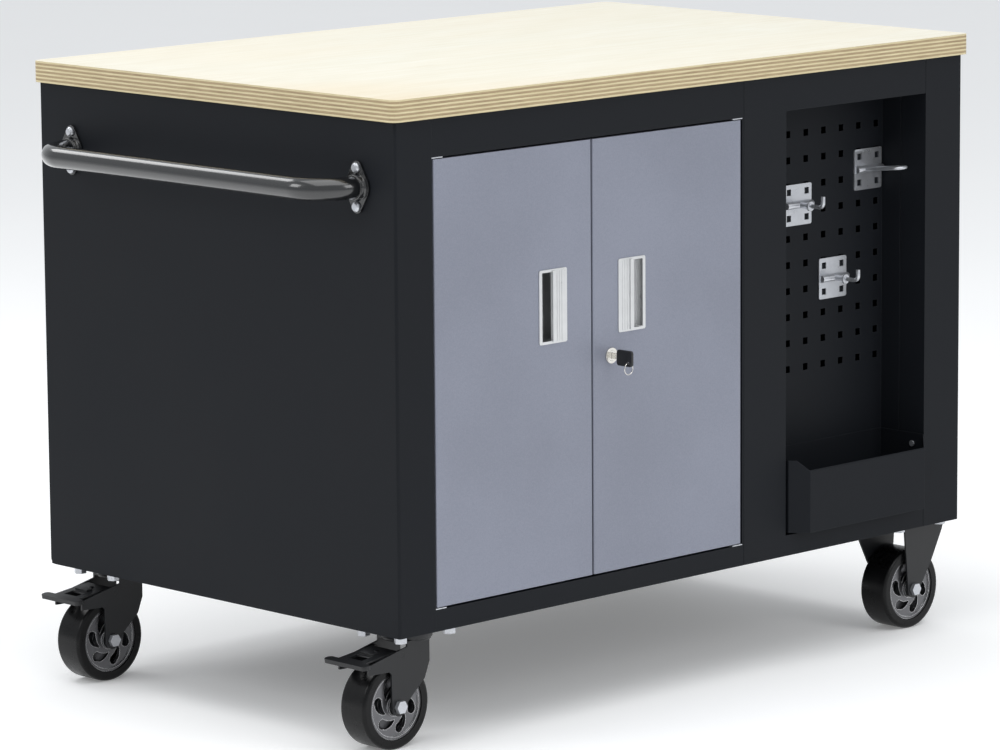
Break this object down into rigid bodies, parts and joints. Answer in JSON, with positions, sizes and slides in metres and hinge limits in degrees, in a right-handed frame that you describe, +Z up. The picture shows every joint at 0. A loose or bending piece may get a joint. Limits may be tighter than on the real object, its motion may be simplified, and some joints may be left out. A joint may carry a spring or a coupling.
{
  "type": "mobile workbench",
  "caption": "Mobile steel workbench with a wooden top, hinged cabinet doors, an open perforated tool bay with tray and hooks, push handle and braked casters.",
  "frame": {"origin": "middle of the overall box, on the floor under the wheels", "axes": "+Z up, +X to the right along the front, -Y towards the user at the front; the push handle is on the -X side"},
  "size_m": [1.2254, 0.7754, 0.8835],
  "materials": {
    "birch_ply": "clear lacquered birch plywood",
    "black_powder_coat": "fine textured powder coat",
    "door_powder_coat": "smooth silver grey powder coat",
    "zinc_steel": "bright zinc plate",
    "black_plastic": "moulded nylon",
    "pull_aluminium": "satin anodised",
    "nickel": "nickel plate",
    "gloss_black_paint": "gloss black",
    "caster_steel": "dark pressed steel",
    "tyre_rubber": "glossy black rubber",
    "rim_aluminium": "cast grey metal"
  },
  "bodies": {
    "cabinet": {"top_frame": "black_powder_coat", "left_panel": "black_powder_coat", "right_panel": "black_powder_coat", "back_panel": "black_powder_coat", "base_plate": "black_powder_coat", "cabinet_floor": "black_powder_coat", "top_rail": "black_powder_coat", "bottom_rail": "black_powder_coat", "divider": "black_powder_coat", "bay_front": "black_powder_coat", "bay_liner": "black_powder_coat", "tool_panel": "black_powder_coat", "shelf": "black_powder_coat", "shelf_clips": "zinc_steel", "door_catches": "black_plastic", "hinge_pins": "zinc_steel", "hinge_tabs": "zinc_steel", "worktop": "birch_ply", "worktop_screws": "zinc_steel", "tray": "black_powder_coat", "tray_screws": "zinc_steel", "hook_a": "zinc_steel", "hook_b": "zinc_steel", "hook_c": "zinc_steel", "handle_tube": "gloss_black_paint", "handle_flanges": "gloss_black_paint", "handle_fasteners": "zinc_steel", "swivel_plates": "caster_steel", "kingpins": "caster_steel", "rigid_forks": "caster_steel", "rigid_axles": "zinc_steel", "caster_fasteners": "zinc_steel"},
    "left_door": {"left_door": "door_powder_coat", "left_stiffener": "door_powder_coat", "left_bushes": "black_plastic", "left_pull": "pull_aluminium"},
    "right_door": {"right_door": "door_powder_coat", "right_stiffener": "door_powder_coat", "right_bushes": "black_plastic", "right_pull": "pull_aluminium", "lock_body": "nickel"},
    "lock_cylinder": {"lock_plug": "nickel", "key_blade": "nickel", "key_head": "black_plastic"},
    "key_ring": {"key_ring": "nickel"},
    "front_left_fork": {"fl_fork": "caster_steel", "fl_axle": "zinc_steel"},
    "front_left_pedal": {"fl_pedal": "caster_steel"},
    "front_left_wheel": {"fl_tyre": "tyre_rubber", "fl_rim": "rim_aluminium"},
    "rear_left_fork": {"rl_fork": "caster_steel", "rl_axle": "zinc_steel"},
    "rear_left_pedal": {"rl_pedal": "caster_steel"},
    "rear_left_wheel": {"rl_tyre": "tyre_rubber", "rl_rim": "rim_aluminium"},
    "front_right_wheel": {"fr_tyre": "tyre_rubber", "fr_rim": "rim_aluminium"},
    "rear_right_wheel": {"rr_tyre": "tyre_rubber", "rr_rim": "rim_aluminium"}
  },
  "joints": [
    {"name": "left_door_hinge", "type": "hinge", "parent": "cabinet", "child": "left_door", "pos_m": [-0.45475, -0.33925, 0.4965], "axis": [0, 0, -1], "range_deg": [0, 100]},
    {"name": "right_door_hinge", "type": "hinge", "parent": "cabinet", "child": "right_door", "pos_m": [0.12525, -0.33925, 0.4965], "axis": [0, 0, 1], "range_deg": [0, 100]},
    {"name": "lock_turn", "type": "hinge", "parent": "right_door", "child": "lock_cylinder", "pos_m": [-0.12925, -0.34625, 0.49675], "axis": [0, 1, 0], "range_deg": [0, 90]},
    {"name": "key_ring_swing", "type": "hinge", "parent": "lock_cylinder", "child": "key_ring", "pos_m": [-0.12925, -0.38025, 0.48975], "axis": [1, 0, 0], "range_deg": [-35, 35]},
    {"name": "front_left_swivel", "type": "hinge", "parent": "cabinet", "child": "front_left_fork", "pos_m": [-0.45725, -0.28025, 0.1475], "axis": [0, 0, 1], "continuous": true},
    {"name": "rear_left_swivel", "type": "hinge", "parent": "cabinet", "child": "rear_left_fork", "pos_m": [-0.45725, 0.31375, 0.1475], "axis": [0, 0, 1], "continuous": true},
    {"name": "front_left_spin", "type": "hinge", "parent": "front_left_fork", "child": "front_left_wheel", "pos_m": [-0.49925, -0.28025, 0.06], "axis": [0, 1, 0], "continuous": true},
    {"name": "rear_left_spin", "type": "hinge", "parent": "rear_left_fork", "child": "rear_left_wheel", "pos_m": [-0.49925, 0.31375, 0.06], "axis": [0, 1, 0], "continuous": true},
    {"name": "front_right_spin", "type": "hinge", "parent": "cabinet", "child": "front_right_wheel", "pos_m": [0.54775, -0.28025, 0.06], "axis": [0, 1, 0], "continuous": true},
    {"name": "rear_right_spin", "type": "hinge", "parent": "cabinet", "child": "rear_right_wheel", "pos_m": [0.54775, 0.31375, 0.06], "axis": [0, 1, 0], "continuous": true},
    {"name": "front_left_brake", "type": "hinge", "parent": "front_left_fork", "child": "front_left_pedal", "pos_m": [-0.49325, -0.28025, 0.1295], "axis": [0, -1, 0], "range_deg": [0, 9]},
    {"name": "rear_left_brake", "type": "hinge", "parent": "rear_left_fork", "child": "rear_left_pedal", "pos_m": [-0.49325, 0.31375, 0.1295], "axis": [0, -1, 0], "range_deg": [0, 9]}
  ]
}
